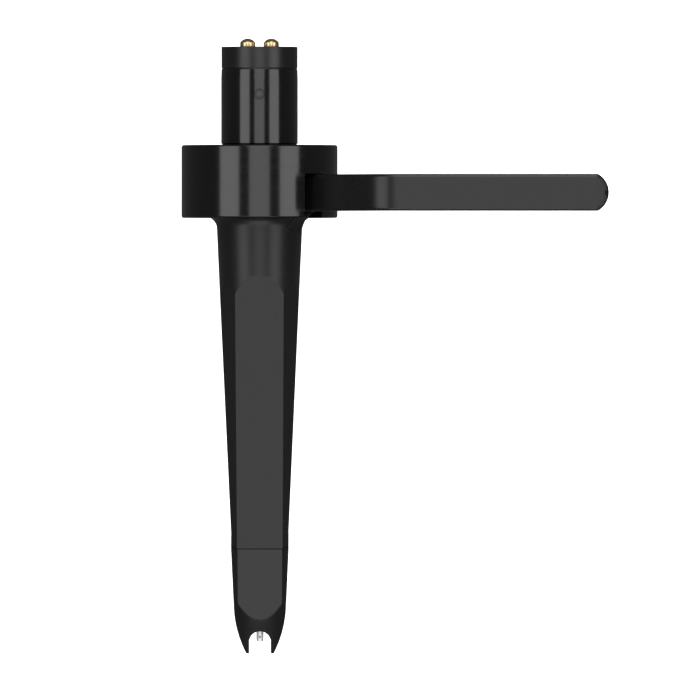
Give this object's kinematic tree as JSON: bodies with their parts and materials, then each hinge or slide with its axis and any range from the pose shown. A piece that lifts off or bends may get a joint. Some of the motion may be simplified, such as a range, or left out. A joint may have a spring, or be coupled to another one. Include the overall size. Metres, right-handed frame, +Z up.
{
  "type": "phono cartridge",
  "caption": "Phono cartridge with integral headshell: bayonet plug, turned collar, faceted tapered body, finger lift and a pull-off stylus unit with a forked nose.",
  "frame": {"origin": "middle of the collar's shoulder face, on the bayonet plug's axis", "axes": "+Y along the plug, out of its contact end; +X towards the finger lift; +Z up, away from the record"},
  "size_m": [0.0445, 0.0643, 0.0322],
  "materials": {
    "turned_black": "black anodised, fine turning lines, semi-gloss",
    "satin_black": "satin black moulding with a fine even grain",
    "black_plastic": "satin black insulator",
    "black_steel": "black oxide",
    "gold_contact": "polished gold plate",
    "soft_iron": "plain soft iron",
    "copper_winding": "enamelled copper wire",
    "circuit_board": "glass-epoxy board",
    "tinned_pin": "tinned",
    "lead_white": "insulation",
    "lead_blue": "insulation",
    "lead_red": "insulation",
    "lead_green": "insulation",
    "brass": "drawn tube",
    "damper_rubber": "soft rubber",
    "magnet_alloy": "sintered magnet",
    "steel_wire": "fine drawn wire",
    "bare_aluminium": "bright drawn tube",
    "diamond": "ground diamond"
  },
  "bodies": {
    "root": {"plug_barrel": "turned_black", "contact_insulator": "black_plastic", "contact_pin_left_signal": "gold_contact", "contact_pin_left_ground": "gold_contact", "contact_pin_right_signal": "gold_contact", "contact_pin_right_ground": "gold_contact", "locating_pin": "turned_black", "collar_ring": "turned_black", "collar_grub_screw": "black_steel", "body_shell": "satin_black", "belly_cover": "satin_black", "belly_cover_screws": "black_steel", "finger_lift": "satin_black", "finger_lift_screw": "black_steel", "stylus_socket": "black_plastic", "pole_pins": "soft_iron", "coil_left_upper": "copper_winding", "coil_left_lower": "copper_winding", "coil_right_upper": "copper_winding", "coil_right_lower": "copper_winding", "yoke_plate": "soft_iron", "shield_can": "soft_iron", "terminal_board": "circuit_board", "terminal_pins": "tinned_pin", "lead_left_signal": "lead_white", "lead_left_ground": "lead_blue", "lead_right_signal": "lead_red", "lead_right_ground": "lead_green"},
    "stylus_unit": {"stylus_holder": "satin_black", "stylus_sleeve": "brass", "wire_anchor": "brass", "damper_ring": "damper_rubber"},
    "suspension_core": {"damper_core": "damper_rubber"},
    "cantilever_assembly": {"magnet": "magnet_alloy", "tie_wire": "steel_wire", "cantilever": "bare_aluminium", "stylus_tip": "diamond"}
  },
  "joints": [
    {"name": "stylus_unit_slide", "type": "slide", "parent": "root", "child": "stylus_unit", "axis": [0, -0.9272, -0.3746], "range_m": [0, 0.012]},
    {"name": "cantilever_sideways", "type": "hinge", "parent": "stylus_unit", "child": "suspension_core", "pos_m": [0, -0.04336, -0.01356], "axis": [0, -0.3746, 0.9272], "range_deg": [-3.5, 3.5], "stiffness_Nm_per_rad": 0.005},
    {"name": "cantilever_up_down", "type": "hinge", "parent": "suspension_core", "child": "cantilever_assembly", "pos_m": [0, -0.04336, -0.01356], "axis": [-1, 0, 0], "range_deg": [-2, 6], "stiffness_Nm_per_rad": 0.005}
  ]
}
